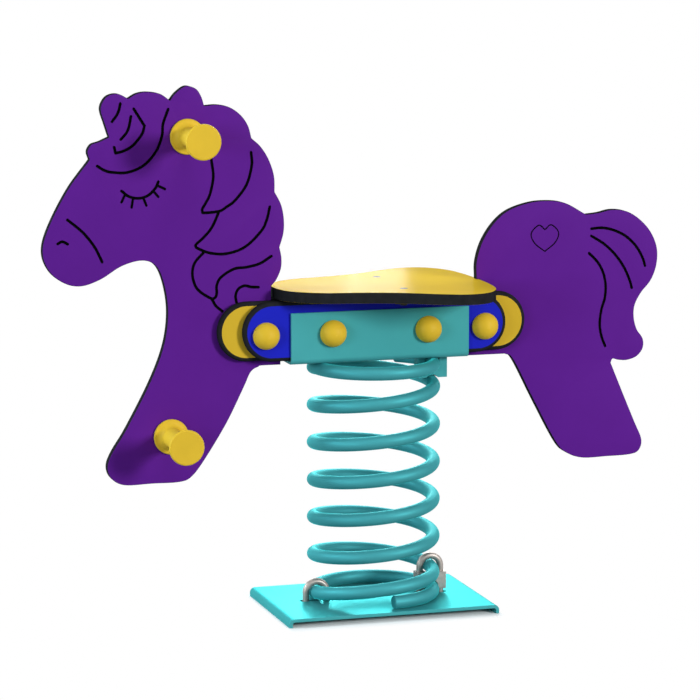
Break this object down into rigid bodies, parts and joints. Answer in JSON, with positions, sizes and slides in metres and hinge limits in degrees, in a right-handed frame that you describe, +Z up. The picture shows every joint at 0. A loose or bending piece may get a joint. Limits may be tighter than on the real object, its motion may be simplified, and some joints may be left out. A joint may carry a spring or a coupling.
{
  "type": "spring rider",
  "caption": "Playground spring rider: a flat-board unicorn with seat, handles and footrests on a coil spring clamped to a steel base plate.",
  "frame": {"origin": "on the ground, under the middle of the overall length and width; the spring's axis is 25.5 mm behind it", "axes": "+X from head to tail, +Y to the rider's right, +Z up"},
  "size_m": [0.9543, 0.312, 0.7904],
  "materials": {
    "teal_paint": "powder coat, satin",
    "zinc_steel": "zinc plated",
    "black_steel": "black passivated",
    "purple_board": "two-colour polyethylene board, fine orange-peel face, black core",
    "yellow_board": "two-colour polyethylene board, fine orange-peel face, black core",
    "blue_board": "two-colour polyethylene board, fine orange-peel face, black core",
    "yellow_moulding": "moulded nylon, satin gloss"
  },
  "bodies": {
    "base": {"base_plate": "teal_paint", "u_bolt_front": "zinc_steel", "u_bolt_rear": "zinc_steel", "lower_saddle": "zinc_steel", "clamp_nuts": "zinc_steel", "clamp_washers": "zinc_steel"},
    "spring": {"spring": "teal_paint"},
    "rider": {"top_channel": "teal_paint", "upper_saddle": "teal_paint", "side_board_left": "blue_board", "side_board_right": "blue_board", "inner_board_left": "yellow_board", "inner_board_right": "yellow_board", "front_panel": "purple_board", "rear_panel": "purple_board", "seat": "yellow_board", "seat_bar": "black_steel", "seat_bolts": "black_steel", "seat_nuts": "black_steel", "bar_screws": "black_steel", "handle_left": "yellow_moulding", "handle_right": "yellow_moulding", "handle_rod": "zinc_steel", "footrest_left": "yellow_moulding", "footrest_right": "yellow_moulding", "footrest_rod": "zinc_steel", "channel_bolts": "zinc_steel", "board_bolts": "zinc_steel", "bolt_washers": "zinc_steel", "bolt_nuts": "zinc_steel", "bolt_caps_left": "yellow_moulding", "bolt_caps_right": "yellow_moulding"}
  },
  "joints": [
    {"name": "rock", "type": "hinge", "parent": "base", "child": "spring", "pos_m": [0.0255, 0, 0.14], "axis": [0, 1, 0], "range_deg": [-20, 20], "stiffness_Nm_per_rad": 414, "deforming": ["spring"]},
    {"name": "sway", "type": "hinge", "parent": "spring", "child": "rider", "pos_m": [0.0255, 0, 0.28], "axis": [1, 0, 0], "range_deg": [-15, 15], "stiffness_Nm_per_rad": 414, "deforming": ["spring"]}
  ]
}
